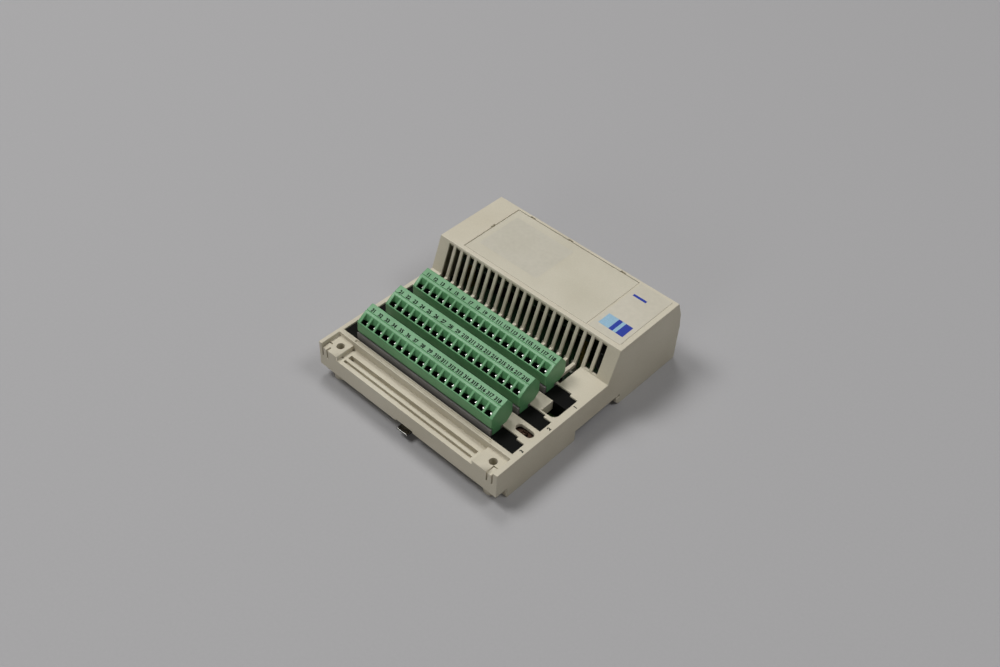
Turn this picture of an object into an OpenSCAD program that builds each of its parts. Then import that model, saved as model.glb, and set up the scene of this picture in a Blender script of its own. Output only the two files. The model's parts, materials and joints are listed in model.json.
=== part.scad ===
// Input and output base module of a programmable controller, lying on its rail side.
// X runs along the terminal rows, Y from the front wall to the raised block, Z up.
// Depths named ..._d are measured from the front wall, heights named ..._z from the ground.

/* [Housing] */
// Width of the housing along the terminal rows
body_w = 125; // [122:0.5:132]
// Length of the housing from the front wall to the back wall
body_l = 141.5; // [139:0.5:150]
// Height of the deck that carries the terminal rows
deck_z = 23; // [22.5:0.25:26]
// Height of the raised block
top_z = 42.5; // [42:0.5:48]
// Thickness of the outer walls
wall = 2.2; // [1.6:0.1:2.6]
// Thickness of the deck
deck_t = 2; // [1.5:0.1:2.4]
// Thickness of the roof of the block
roof_t = 3.2; // [2.9:0.1:3.8]
// Height of the front lip and of the ceiling of the rail channel
lip_z = 7; // [6.6:0.1:7.6]

/* [Raised block] */
// Distance from the pins of the back row to the foot of the vented slope
slope_lead = 20.95; // [20:0.05:24]
// Depth over which the slope leans back
slope_run = 6.9; // [4:0.1:9]
// Thickness of the vented slope, measured level
slope_t = 1.3; // [1.2:0.1:2.6]
// Distance from the back edge of the roof to the back wall
roof_inset = 5.1; // [4:0.1:6]
// Height of the shoulder where the back wall begins to lean in
shoulder_z = 33.5; // [28:0.5:38]
// Lean of the back wall below the shoulder
shoulder_in = 1.5; // [0.5:0.1:1.8]

/* [Vents] */
// Number of vent slots
vent_n = 22; // [16:1:22]
// Width of a vent slot
vent_w = 3.1; // [2:0.1:3.4]
// Solid strip between the slots and the edge of the roof
vent_top_gap = 1.4; // [1:0.1:3]
// Number of slots at the right that end above the deck
vent_short_n = 2; // [1:1:4]
// Height of the sill under those slots
vent_sill = 0.9; // [0.5:0.1:6]
// Deck left between those slots and the back row's well
vent_bridge = 1.45; // [1:0.05:4]
// Distance from the first slot to the left side
vent_left = 8.76; // [8:0.01:14]
// Distance from the last slot to the right side
vent_right = 9.56; // [8:0.01:14]

/* [Terminal rows] */
// Spacing of the terminals
pitch = 5.08; // [5:0.01:5.1]
// Terminals in a row
poles = 18; // [12:1:18]
// Spacing of the rows
row_pitch = 19.6; // [19.2:0.1:19.8]
// Offset of the rows from the middle
row_x = -4; // [-4.5:0.1:-2]
// Well in the deck from its front edge to the pins
well_lead = 6.1; // [5.9:0.1:6.6]
// Width of a well along the row
well_w = 9.9; // [9.8:0.1:10.5]
// Width of a well at its right end
well_end_w = 8.3; // [8:0.1:9.2]
// Length of that narrow right end
well_end_l = 5; // [3:0.1:8]
// Deck left of the wells
rim_left = 2.5; // [2.3:0.1:3.5]
// Deck right of the wells
rim_right = 4.3; // [3:0.1:5]
// Depth of the floor of a well
pit_depth = 6; // [5:0.1:7]
// Drop of the blocks at the ends of a well below the deck
block_drop = 0.6; // [0.4:0.1:2]
// Width of the board window beside the back row
window_w = 8.5; // [7:0.1:9.5]
// Rounding of the corner of the board window
window_corner = 3.4; // [2:0.1:4]
// Deck left between the board window and the middle row
window_bridge = 0.95; // [0.6:0.05:2]
// Depth of the wall beside the board window
window_skirt = 4; // [2:0.1:5]
// Thickness of that wall
window_wall = 1.2; // [0.8:0.1:1.6]

/* [Terminal plugs] */
// End wall beyond the last terminal
plug_end = 1.3; // [1:0.1:1.6]
// Height of the back edge of a plug above the deck
plug_h = 16.2; // [15:0.1:18]
// Fall of the top of a plug towards its front edge
plug_fall = 1.8; // [0.5:0.1:2.5]
// Front face of a plug, from the pins
plug_front = 4.6; // [4.4:0.1:4.8]
// Back face of a plug, from the pins
plug_back = 10.1; // [8.5:0.1:10.8]
// Front edge of the top, from the pins
plug_top_front = 0.9; // [0.4:0.1:1.4]
// Back edge of the top, from the pins
plug_top_back = 6.4; // [5.5:0.1:7.5]
// Height of the upright front face above the deck
plug_brow = 10.4; // [9.8:0.1:11]
// Height of the upright back face above the deck
plug_nape = 10.9; // [9:0.1:12]
// Lower edge of the front face above the deck
plug_skirt = 4.2; // [3.6:0.1:4.6]
// Underside behind the pins above the deck
plug_belly = 0.5; // [0.4:0.1:0.9]
// Lower edge of the back face above the deck
plug_tail = 4; // [2:0.1:6]
// Width of a wire opening
cell_w = 3.7; // [3.2:0.1:4]
// Strip left at both ends of a wire opening
cell_lip = 0.55; // [0.4:0.05:0.8]
// Length of the wire hole at the foot of the opening
hole_l = 2.7; // [2.2:0.1:3.2]
// Depth of the wire hole
hole_depth = 6.5; // [5:0.1:6.8]
// Depth of the ramp above the wire hole
ramp_depth = 2.2; // [1:0.1:3]
// Width of the fine groove along the top of a plug
top_groove = 0.45; // [0.2:0.05:0.6]
// Thickness of a clamp spring
spring_t = 0.4; // [0.3:0.05:0.6]
// Width of a clamp spring
spring_w = 1.7; // [1.2:0.1:2.4]
// Reach of the bent end of a clamp spring across the wire hole
spring_reach = 1.3; // [1:0.1:2]
// Thickness of the guide that lines a wire hole
guide_t = 0.3; // [0.2:0.05:0.4]
// Depth of the upper edge of that guide in the wire hole
guide_drop = 0.7; // [0.5:0.1:1.5]

/* [Headers and pins] */
// Width of a square header pin
pin_w = 1; // [0.8:0.1:1.2]
// Height of the pins above the deck
pin_over = 4; // [3:0.1:4.2]
// Thickness of the front wall of a header
shroud_t = 1.2; // [1:0.1:1.4]
// Height of the front wall of a header above the deck
shroud_over = 3; // [2:0.1:3.2]
// Thickness of the floor of a header
shroud_floor = 0.5; // [0.4:0.05:0.6]
// Thickness of the rear wall of a header
shroud_back = 0.9; // [0.8:0.1:1]
// Gap under the tongue of a plug
tongue_gap = 0.8; // [0.5:0.1:1.2]
// Tongue of a plug in front of the pins
tongue_front = 3.7; // [3.2:0.1:3.8]
// Tongue of a plug behind the pins
tongue_back = 2.2; // [2:0.1:2.4]
// Width of a contact along the row
contact_w = 3; // [2.6:0.1:3.4]
// Depth of a contact across the row
contact_d = 2.8; // [2.6:0.1:3.2]
// Wall of a contact
contact_t = 0.5; // [0.4:0.05:0.6]

/* [Front trough] */
// Depth of the trough from the front wall to the ridge
trough_l = 12.1; // [11.8:0.1:12.4]
// Drop of the mounting pads below the deck
pad_drop = 2.4; // [1.5:0.1:3]
// Drop of the rails of the trough below the deck
rail_drop = 5; // [4.6:0.1:5.6]
// Floor left under the grooves
trough_floor = 1.8; // [1.6:0.1:2]
// Side strip left of the trough
strip_left = 2.2; // [1.4:0.1:2.8]
// Side strip right of the trough
strip_right = 2.8; // [2.4:0.1:3.2]
// Length of the left mounting pad
pad_left = 10.9; // [10.6:0.1:13]
// Length of the right mounting pad
pad_right = 13.7; // [12:0.1:15]
// Start of the narrow groove behind the front wall
groove_1_d = 2.2; // [2:0.05:2.4]
// Width of the narrow groove
groove_1_w = 1.5; // [1:0.1:1.8]
// Depth of the narrow groove
groove_1_h = 1.9; // [1:0.1:2.4]
// Start of the wide groove behind the front wall
groove_2_d = 5.5; // [5:0.05:6]
// Width of the wide groove
groove_2_w = 2.5; // [1.5:0.05:3]
// Depth of the wide groove
groove_2_h = 3.2; // [2:0.1:3.4]
// Length left uncut at both ends of the grooves
groove_end = 2.8; // [0.5:0.1:4]
// Width of the ridge behind the trough
ridge_w = 2.95; // [2.5:0.05:4]
// Depth of the groove in the ridge
ridge_step = 0.8; // [0.2:0.1:1.2]
// Width of the front lip of the ridge
ridge_lip = 0.9; // [0.6:0.1:1.4]
// Width of the back lip of the ridge
ridge_rim = 0.6; // [0.4:0.1:1]
// Width of the small pockets beside the left pad
pocket_w = 1.1; // [0.8:0.1:1.3]
// Width of the slits beside the snap fingers
slit_w = 0.8; // [0.5:0.1:1]
// Width of a snap finger
finger_w = 2.6; // [2:0.1:3]
// Length of a snap finger
finger_l = 5.4; // [4:0.1:6]
// Depth of the slits below the pads
slit_z = 6; // [4:0.1:7]

/* [Mounting] */
// Distance from the mounting holes to the sides
hole_edge = 8.8; // [8.4:0.1:9.4]
// Depth of the mounting holes
hole_d = 6.9; // [6.6:0.1:7.2]
// Diameter of the mounting holes
hole_dia = 4.4; // [4:0.1:5]
// Diameter of the mounting bosses
boss_dia = 8.6; // [8:0.1:9]
// Width of the mounting rail
rail_w = 35; // [35:0.1:35.4]
// Play of the rail in the channel
rail_play = 0.5; // [0.3:0.1:0.8]
// Depth of the front side of the rail channel
channel_d = 58.25; // [57:0.1:59]
// Thickness of the slot that takes the edge of the rail
rail_slot = 2; // [1.5:0.1:2.4]
// Reach of the fixed hook under the rail
hook_l = 2.5; // [1.5:0.1:3]
// Thickness of the fixed hook
hook_t = 2.6; // [2:0.1:3.4]
// Depth of the front side of the front foot
foot_d = 8.05; // [8:0.05:9]
// Thickness of the base plate
base_t = 2; // [1.6:0.1:2.2]
// Thickness of the ribs under the base plate
rib_t = 1.8; // [1.4:0.1:2.2]
// Length of the ledges that hold the latch
ledge_l = 5; // [4:0.1:8]
// Width of those ledges
ledge_w = 2.3; // [1.5:0.1:3]
// Thickness of those ledges
ledge_t = 1.4; // [1:0.1:1.8]

/* [Latch] */
// Reach of the latch tab in front of the front wall
tab_out = 1.6; // [1:0.1:3]
// Width of the latch tab
tab_w = 7.4; // [6:0.1:9]
// Width of the latch plate
latch_w = 16; // [14:0.1:18]
// Width of the nose of the latch
nose_w = 12; // [10:0.1:13]
// Reach of the nose under the rail
nose_l = 2; // [1.5:0.1:2.5]
// Thickness of the latch plate
latch_t = 1.2; // [1:0.1:1.8]
// Travel of the latch
latch_travel = 4; // [3:0.1:4.5]
// Height of the underside of the latch plate
latch_z = 3.7; // [3.4:0.1:3.9]
// Radius of the latch spring at the middle of its wire
coil_r = 1.45; // [1.2:0.05:1.6]
// Radius of the wire of the latch spring
wire_r = 0.3; // [0.2:0.05:0.4]
// Distance from the front foot to the peg of the latch spring
spring_lead = 16.3; // [14:0.1:18]
// Thickness and half width of that peg
peg_w = 2; // [1.6:0.1:2.4]
// Room for the latch spring
spring_room = 17.7; // [15:0.1:20]
// Bevel of the nose of the latch
nose_bevel = 1.2; // [0.8:0.1:1.2]
// Curls of the latch spring
curls = 7; // [5:1:9]

/* [Cover panel and label] */
// Left edge of the cover panel, from the left side
panel_x = 15.2; // [12:0.1:18]
// Right edge of the cover panel, from the right side
panel_right = 24.8; // [22:0.1:30]
// Front edge of the cover panel behind the edge of the roof
panel_lead = 2.8; // [2:0.1:4]
// Roof left behind the cover panel
panel_trail = 2; // [1.5:0.1:3]
// Gap at the left and back edges of the cover panel
panel_gap = 0.4; // [0.2:0.05:0.5]
// Gap at the right and front edges of the cover panel
panel_snug = 0.05; // [0.05:0.01:0.2]
// Thickness of the cover panel
panel_t = 1.6; // [1.2:0.1:1.8]
// Gap between the printed label and the panel
label_gap = 1.2; // [0.6:0.1:2]
// Gap between the printed label and the right side
label_edge = 3.1; // [1:0.1:5]
// Thickness of the label
label_t = 0.25; // [0.15:0.05:0.4]
// Length of a pry notch at the edge of the panel
notch_l = 3.2; // [2:0.1:5]
// Width of a pry notch
notch_w = 1.1; // [0.6:0.1:1.2]

/* [Boards] */
// Thickness of the boards
board_t = 1.6; // [1.2:0.1:1.6]
// Height of the pillars under the main board
pillar_h = 2; // [1.6:0.1:2.2]
// Gap between the main board and the side walls
board_side = 2.3; // [1:0.1:4]
// Gap between the main board and the trough or the back wall
board_lead = 1; // [0.6:0.1:2]
// Height of the bus board above the main board
bus_gap = 17.4; // [15:0.1:18]
// Reach of the bus board beyond the cover panel
bus_side = 2.5; // [1:0.1:3]
// Distance from the front edge of the roof to the bus board
bus_lead = 3.8; // [3:0.1:5]
// Diameter of the board screws
screw_dia = 2.5; // [2:0.1:3]
// Distance of the rear board screws from the corners of the board
screw_in = 4.5; // [4:0.1:6]
// Distance of the front board screws from the middle
screw_x = 36; // [20:0.5:37]
// Width of a hexagonal spacer over its corners
spacer_dia = 5.5; // [5:0.1:6]

/* [Electronics] */
// Diameter of a light-emitting diode
led_dia = 3; // [2:0.1:3.2]
// Gap between the lamps and the housing
led_gap = 0.5; // [0.3:0.1:1]
// Distance from the foot of the slope to the output lamps
led_lead = 3.4; // [3:0.1:5]
// Width of the adapter connector
adapter_w = 36; // [28:0.5:38]
// Depth of the adapter connector
adapter_l = 8; // [6:0.1:9]
// Wall of the adapter connector
adapter_t = 1.5; // [1:0.1:2]
// Distance from the left edge of the panel to the adapter connector
adapter_side = 5; // [3:0.1:6]
// Distance from the back edge of the panel to the adapter connector
adapter_back = 9.4; // [8:0.1:12]
// Width of the plug between the boards
link_w = 34; // [20:0.5:36]
// Depth of the plug between the boards
link_l = 5; // [4:0.1:5.4]
// Gap between the parts on the boards
part_gap = 2; // [1.5:0.1:3]
// Width of the bus chip
bus_chip_w = 12; // [10:0.1:13]
// Height of the bus chip
bus_chip_h = 2; // [1.5:0.1:3]
// Depth of the crystal's can
can_w = 4.6; // [4:0.1:5]
// Height of the crystal's can
can_h = 3.5; // [3:0.1:4]
// Distance between the round ends of the can
can_l = 6.4; // [5:0.1:6.6]
// Width of an optocoupler
opto_w = 4.6; // [4:0.1:5]
// Depth of an optocoupler
opto_l = 6.4; // [5:0.1:7]
// Distance from the outermost optocouplers to the edge of the board
opto_edge = 6; // [3:0.1:8]
// Height of the optocouplers
opto_h = 3.4; // [2.5:0.1:4]
// Width of a driver chip
driver_w = 12; // [9:0.1:14]
// Spacing of the driver chips
driver_pitch = 26; // [16:0.5:28]
// Height of the driver chips
driver_h = 2.4; // [1.5:0.1:3]
// Width of the voltage converter
converter_w = 30; // [22:0.5:32]
// Height of the voltage converter
converter_h = 11; // [8:0.1:13]
// Height of the filter capacitors
capacitor_h = 13; // [10:0.1:16]

/* [Earth terminal] */
// Length of the slot over the earth screw
earth_slot_l = 10.6; // [9:0.1:11]
// Width of the slot over the earth screw
earth_slot_w = 4.6; // [3.6:0.1:4.8]
// Diameter of the earth screw
earth_dia = 2.4; // [2:0.1:2.6]
// Length of the earth screw under its head
earth_l = 5; // [4:0.1:6]
// Height of the head of the earth screw
earth_head = 1.5; // [1.2:0.1:1.8]
// Distance from the deck to the earth strap
earth_drop = 0.4; // [0.2:0.1:1]
// Thickness of the earth strap
strap_t = 0.8; // [0.6:0.1:1]
// Width of the earth strap
strap_w = 5.6; // [4.6:0.1:6]
// Reach of the earth strap beyond the slot
strap_side = 1.1; // [0.8:0.1:1.2]

/* [Clearances] */
// Play between parts that are pushed together
fit = 0.2; // [0.1:0.05:0.3]
// Play round parts that slide
slide_fit = 0.3; // [0.25:0.05:0.4]
// Play round the screws
screw_fit = 0.15; // [0.1:0.05:0.2]

/* [Hidden] */
$fn = 48;
eps = 0.01;

cream = "#c4bda5";
shade = "#b3ac95";
green = "#5b9a6c";
black = "#1b1b1d";
grey = "#55544f";
board_green = "#2f5a3a";
steel = "#c8c8c6";
tin = "#b9bbb8";
brass = "#b59a4a";
bronze = "#6b4a33";

cut_over = 1;
front_y = tab_out - (body_l + tab_out) / 2;
half_w = body_w / 2;
in_x = half_w - wall;
deck_under = deck_z - deck_t;
roof_under = top_z - roof_t;
row_d = trough_l + ridge_w + well_lead;
slope_d = row_d + 2 * row_pitch + slope_lead;
roof_d = slope_d + slope_run;
roof_back = body_l - roof_inset;
back_in = body_l - wall;
pad_z = deck_z - pad_drop;
rail_z = deck_z - rail_drop;
trough_under = rail_z - max(groove_1_h, groove_2_h) - trough_floor;
pad_x0 = -half_w + strip_left;
pad_x1 = pad_x0 + pad_left;
pad_x3 = half_w - strip_right;
pad_x2 = pad_x3 - pad_right;
well_x0 = -half_w + rim_left;
well_x1 = half_w - rim_right;
vent_pitch = (body_w - vent_left - vent_right) / (vent_n - 1);
hole_x = half_w - hole_edge;
channel_back = channel_d + rail_w + rail_play;
slot_z = lip_z - rail_slot;
base_x = in_x - fit;
base_top = lip_z + base_t;
board_z = base_top + pillar_h;
board_top = board_z + board_t;
board_x = in_x - board_side;
board_d = [trough_l + ridge_lip + board_lead, back_in - board_lead];
row_l = poles * pitch;
plug_x0 = row_x - row_l / 2 - plug_end;
plug_x1 = row_x + row_l / 2 + plug_end;
pit_z = deck_z - pit_depth;
tongue_z = pit_z + tongue_gap;
pin_z = deck_z + pin_over;
brow = [-plug_front, deck_z + plug_brow];
crest = [plug_top_front, deck_z + plug_h - plug_fall];
incline = norm(crest - brow);
incline_turn = atan2(crest[1] - brow[1], crest[0] - brow[0]);
panel_x0 = -half_w + panel_x;
panel_x1 = half_w - panel_right;
panel_d0 = roof_d + panel_lead;
panel_d1 = roof_back - panel_trail;
panel_z = top_z - panel_t;
bus_x = [panel_x0 - bus_side, panel_x1 + bus_side];
bus_d = [roof_d + bus_lead, panel_d1];
bus_z = board_top + bus_gap;
bus_top = bus_z + board_t;
spacer_in = 0.7 * spacer_dia;
adapter_x = [panel_x0 + adapter_side, panel_x0 + adapter_side + adapter_w];
adapter_d = [panel_d1 - adapter_back - adapter_l, panel_d1 - adapter_back];
link_d = [bus_d[1] - part_gap - link_l, bus_d[1] - part_gap];
led_d = slope_d + slope_t + led_dia / 2 + led_gap;
led_out = slope_d - led_lead;
led_z = deck_under - led_gap;
earth_d = row_d + (row_pitch + well_w) / 2 - well_lead;
earth_x = well_x1 - earth_slot_l / 2;
earth_z = deck_under - earth_drop;
screw_spots = [
    for (side = [-1, 1], back = [0, 1])
        back == 0 ? [side * screw_x, earth_d] : [side * (board_x - screw_in), board_d[1] - screw_in]
];
latch_top = latch_z + latch_t;
spring_front = foot_d + spring_lead + peg_w;
spring_back = spring_front + spring_room;

function row_pin(row) = row_d + (3 - row) * row_pitch;
function well_d(row) = row_pin(row) - well_lead;
function slope_at(z) = slope_d + slope_run * (z - deck_z) / (top_z - deck_z);
function pole_x(i) = row_x + (i - (poles - 1) / 2) * pitch;
function vent_x(i) = vent_left - half_w + i * vent_pitch;

// Outline of the housing seen from its side, with the lip, the feet and the rail channel
function outer_profile() = [
    [0, lip_z], [0, deck_z], [slope_d, deck_z], [roof_d, top_z], [roof_back, top_z],
    [body_l - shoulder_in, shoulder_z], [body_l, deck_z], [body_l, 0], [channel_back, 0],
    [channel_back - hook_l, slot_z - hook_t], [channel_back - hook_l, slot_z],
    [channel_back, slot_z], [channel_back, lip_z], [channel_d, lip_z], [channel_d, 0],
    [foot_d, 0], [foot_d, lip_z]
];

// Outline of the space inside the housing, open at the bottom
function inner_profile() = [
    [wall, -eps], [wall, deck_under], [slope_at(deck_under) + slope_t, deck_under],
    [slope_at(roof_under) + slope_t, roof_under], [roof_back - wall, roof_under],
    [body_l - shoulder_in - wall, shoulder_z], [back_in, deck_z], [back_in, -eps]
];

// Outline of a terminal plug, from the pins
function plug_profile() = [
    [-tongue_front, tongue_z], [-tongue_front, deck_z + plug_skirt], [-plug_front, deck_z + plug_skirt],
    brow, crest, [plug_top_back, deck_z + plug_h], [plug_back, deck_z + plug_nape],
    [plug_back, deck_z + plug_tail], [plug_top_back, deck_z + plug_belly],
    [tongue_back, deck_z + plug_belly], [tongue_back, tongue_z]
];

// Outline of a wire opening: a ramp above and a hole below, along the incline and into it
function cell_profile() = [
    [cell_lip, eps], [incline - cell_lip, eps], [cell_lip + hole_l, -ramp_depth],
    [cell_lip + hole_l, -hole_depth], [cell_lip, -hole_depth]
];

// Outline of a clamp spring that lies on the upper wall of the wire hole and bends across it
function spring_profile() = let (
    high = cell_lip + hole_l,
    low = high - spring_reach,
    bend = -ramp_depth - 2 * spring_t,
    deep = -hole_depth
) [
    [low, -ramp_depth], [high, bend], [high, deep], [high - spring_t, deep],
    [high - spring_t, bend - spring_t], [low, -ramp_depth - spring_t]
];

// Outline of a straight stretch of a wire hole, along the incline and into it
function hole_stretch(along, into) = [
    [along[0], into[0]], [along[1], into[0]], [along[1], into[1]], [along[0], into[1]]
];

// Draws depths from the front wall in the frame of the whole module
module place() {
    translate([0, front_y, 0])
        children();
}

module bar(x, d, z) {
    translate([x[0], d[0], z[0]])
        cube([x[1] - x[0], d[1] - d[0], z[1] - z[0]]);
}

module post(x, d, z, dia) {
    translate([x, d, z[0]])
        cylinder(d = dia, h = z[1] - z[0]);
}

// Carries an outline of depth and height along the width
module prism(points, x) {
    translate([x[0], 0, 0])
        rotate([90, 0, 90])
            linear_extrude(x[1] - x[0])
                polygon(points);
}

// Carries an outline, drawn along and into the incline of a plug, along the width
module incline_prism(points, x) {
    translate([x[0], brow[0], brow[1]])
        rotate([90, 0, 90])
            linear_extrude(x[1] - x[0])
                rotate(incline_turn)
                    polygon(points);
}

// The wells, the board window and the slot of the earth screw
module deck_cuts() {
    z = [deck_under - cut_over, deck_z + cut_over];
    for (row = [1:3]) {
        bar([well_x0, well_x1 - well_end_l], [well_d(row), well_d(row) + well_w], z);
        bar([well_x0, well_x1], [well_d(row), well_d(row) + well_end_w], z);
    }
    front = well_d(2) + well_w + window_bridge;
    turn = front + window_corner;
    bar([well_x1 - window_w, well_x1 - window_corner], [front, well_d(1) + eps], z);
    bar([well_x1 - window_corner - eps, well_x1], [turn, well_d(1) + eps], z);
    post(well_x1 - window_corner, turn, z, 2 * window_corner);
    half = (earth_slot_l - earth_slot_w) / 2;
    bar([earth_x - half, earth_x + half], [earth_d - earth_slot_w / 2, earth_d + earth_slot_w / 2], z);
    for (side = [-1, 1])
        post(earth_x + side * half, earth_d, z, earth_slot_w);
}

// The vent slots in the slope, most of them running on along the deck
module vent_cuts() {
    start = well_d(1) + well_w + vent_bridge;
    for (i = [0:vent_n - 1]) {
        x = [vent_x(i) - vent_w / 2, vent_x(i) + vent_w / 2];
        short = i >= vent_n - vent_short_n;
        low = short ? deck_z + vent_sill : deck_under - cut_over;
        high = top_z - vent_top_gap;
        prism([[slope_at(low) - cut_over, low], [slope_at(low) + slope_t + cut_over, low],
               [slope_at(high) + slope_t, high], [slope_at(high) - cut_over, high]], x);
        if (!short)
            bar(x, [start, slope_d + cut_over], [deck_under - cut_over, deck_z + cut_over]);
    }
}

// The trough along the front with its pads, rails, grooves and snap fingers
module trough_cuts() {
    over = deck_z + cut_over;
    groove_x = [pad_x1 + groove_end, pad_x2 - groove_end];
    bar([pad_x0, pad_x3], [-cut_over, trough_l], [pad_z, over]);
    bar([pad_x1, pad_x2], [-cut_over, trough_l], [rail_z, over]);
    bar(groove_x, [groove_1_d, groove_1_d + groove_1_w], [rail_z - groove_1_h, over]);
    bar(groove_x, [groove_2_d, groove_2_d + groove_2_w], [rail_z - groove_2_h, over]);
    bar([pad_x1, pad_x2], [trough_l + ridge_lip, well_d(3) - ridge_rim], [deck_z - ridge_step, over]);
    for (d = [groove_2_d - 2 * pocket_w, trough_l - pocket_w])
        bar([pad_x1, pad_x1 + pocket_w], [d, d + pocket_w], [rail_z - groove_1_h, over]);
    for (x = [pad_x0, pad_x3 - 2 * slit_w - finger_w]) {
        slits = [pad_z - slit_z, over];
        bar([x, x + slit_w], [-cut_over, finger_l], slits);
        bar([x + slit_w + finger_w, x + 2 * slit_w + finger_w], [-cut_over, finger_l / 2], slits);
        bar([x, x + finger_w], [finger_l - slit_w, finger_l], [pad_z - slit_w, over]);
    }
    for (side = [-1, 1])
        post(side * hole_x, hole_d, [-cut_over, over], hole_dia);
}

// The seat of the cover panel with its pry notches and the aperture of the adapter connector
module panel_cuts() {
    over = top_z + cut_over;
    bar([panel_x0 - panel_gap, panel_x1 + panel_snug],
        [panel_d0 - panel_snug, panel_d1 + panel_gap], [panel_z, over]);
    bar([adapter_x[0] - slide_fit, adapter_x[1] + slide_fit],
        [adapter_d[0] - slide_fit, adapter_d[1] + slide_fit], [roof_under - cut_over, over]);
    for (share = [0.12, 0.44, 0.87]) {
        x = panel_x0 + share * (panel_x1 - panel_x0);
        bar([x - notch_l / 2, x + notch_l / 2], [panel_d1, panel_d1 + notch_w], [panel_z, over]);
    }
    side_d = (panel_d0 + panel_d1) / 2;
    bar([panel_x0 - notch_w, panel_x0], [side_d, side_d + notch_l], [panel_z, over]);
}

module top_cover() {
    skirt_x = well_x1 - window_w;
    notch_x = tab_w / 2 + wall;
    color(cream) place() difference() {
        union() {
            difference() {
                prism(outer_profile(), [-half_w, half_w]);
                prism(inner_profile(), [-in_x, in_x]);
            }
            bar([-in_x - eps, in_x + eps], [wall - eps, trough_l + ridge_lip],
                [trough_under, deck_under + eps]);
            bar([skirt_x - window_wall, skirt_x], [well_d(2) + well_w + window_bridge, well_d(1)],
                [deck_under - window_skirt, deck_under + eps]);
            for (side = [-1, 1])
                post(side * hole_x, hole_d, [0, trough_under + eps], boss_dia);
        }
        deck_cuts();
        vent_cuts();
        trough_cuts();
        panel_cuts();
        bar([-notch_x, notch_x], [-cut_over, wall + cut_over], [lip_z - cut_over, lip_z + wall / 2]);
    }
}

// Plate that closes the housing from below, with ribs, rail hook and the guides of the latch
module base_plate() {
    front = wall + fit;
    back = back_in - fit;
    guide = latch_w / 2 + slide_fit;
    neck = nose_w / 2 + slide_fit;
    color(shade) place() {
        difference() {
            union() {
                bar([-base_x, base_x], [front, back], [lip_z, base_top]);
                for (d = [foot_d, channel_d - rib_t, channel_back, back - rib_t])
                    bar([-base_x, base_x], [d, d + rib_t], [0, lip_z + eps]);
                prism([[channel_back + eps, 0], [channel_back - hook_l, slot_z - hook_t],
                       [channel_back - hook_l, slot_z], [channel_back + eps, slot_z]],
                      [-base_x, base_x]);
                for (side = [-1, 1], x = [guide, base_x - rib_t]) {
                    left = side > 0 ? x : -x - rib_t;
                    bar([left, left + rib_t], [foot_d, channel_d], [0, lip_z + eps]);
                    bar([left, left + rib_t], [channel_back, back], [0, lip_z + eps]);
                }
                for (spot = screw_spots)
                    post(spot[0], spot[1], [base_top - eps, board_z], 2.6 * screw_dia);
            }
            for (d = [foot_d, channel_d - rib_t])
                bar([-neck, neck], [d - eps, d + rib_t + eps], [latch_z - slide_fit, latch_top + slide_fit]);
            for (side = [-1, 1])
                post(side * hole_x, hole_d, [-cut_over, base_top + cut_over], boss_dia + 2 * slide_fit);
            for (spot = screw_spots)
                post(spot[0], spot[1], [lip_z + base_t / 4, board_z + cut_over], screw_dia + 2 * screw_fit);
        }
        for (d = [foot_d + rib_t + ledge_l, channel_d - rib_t - 2 * ledge_l], side = [-1, 1]) {
            x = side > 0 ? [guide - ledge_w, guide + eps] : [-guide - eps, ledge_w - guide];
            bar(x, [d, d + ledge_l], [latch_z - slide_fit - ledge_t, latch_z - slide_fit]);
            bar(x, [d, d + ledge_l], [latch_top + slide_fit, lip_z + eps]);
        }
        bar([-peg_w, peg_w], [spring_front - peg_w, spring_front], [latch_z, lip_z + eps]);
    }
}

module cover_panel() {
    color(cream) place()
        bar([panel_x0, panel_x1], [panel_d0, panel_d1], [panel_z, top_z]);
}

module marking_label() {
    color(cream) place()
        bar([panel_x1 + label_gap, half_w - label_edge], [panel_d0, panel_d1], [top_z, top_z + label_t]);
}

// Steel slide: a tab to pull, a plate with a window for the spring, and a bevelled nose
module din_latch() {
    nose_d = channel_d + nose_l;
    plate_d = [foot_d + rib_t + latch_travel + slide_fit, channel_d - rib_t - slide_fit];
    window_x = peg_w + slide_fit;
    color(steel) place() difference() {
        translate([0, 0, latch_z])
            linear_extrude(latch_t)
                difference() {
                    union() {
                        translate([-tab_w / 2, -tab_out])
                            square([tab_w, foot_d + tab_out + eps]);
                        translate([-latch_w / 2, plate_d[0]])
                            square([latch_w, plate_d[1] - plate_d[0]]);
                        translate([-nose_w / 2, foot_d])
                            square([nose_w, nose_d - foot_d]);
                    }
                    translate([-window_x, spring_front - peg_w - slide_fit])
                        square([2 * window_x, spring_back - spring_front + peg_w + slide_fit]);
                }
        prism([[nose_d - nose_bevel, latch_z - eps], [nose_d + nose_bevel, latch_z - eps],
               [nose_d + nose_bevel, latch_z + 2 * nose_bevel]], [-nose_w, nose_w]);
    }
}

spring_l = spring_back - spring_front - 3 * wire_r;
ring_n = 8;
side_n = 6;
rings = curls * ring_n;

function coil_point(k) = [
    coil_r * cos(360 * k / ring_n),
    spring_front + 1.5 * wire_r + spring_l * k / rings,
    (latch_z + latch_top) / 2 + coil_r * sin(360 * k / ring_n)
];
function coil_out(k) = [cos(360 * k / ring_n), 0, sin(360 * k / ring_n)];
function coil_side(k) = cross(coil_out(k), coil_point(k + 0.5) - coil_point(k - 0.5));
function coil_ring(k) = [
    for (s = [0:side_n - 1])
        coil_point(k) + wire_r * (cos(360 * s / side_n) * coil_out(k)
            + sin(360 * s / side_n) * coil_side(k) / norm(coil_side(k)))
];
function coil_gap() = min([
    for (a = [0:rings], b = [a + ring_n / 2:rings])
        norm(coil_point(a) - coil_point(b)) - 2 * wire_r
]);

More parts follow.
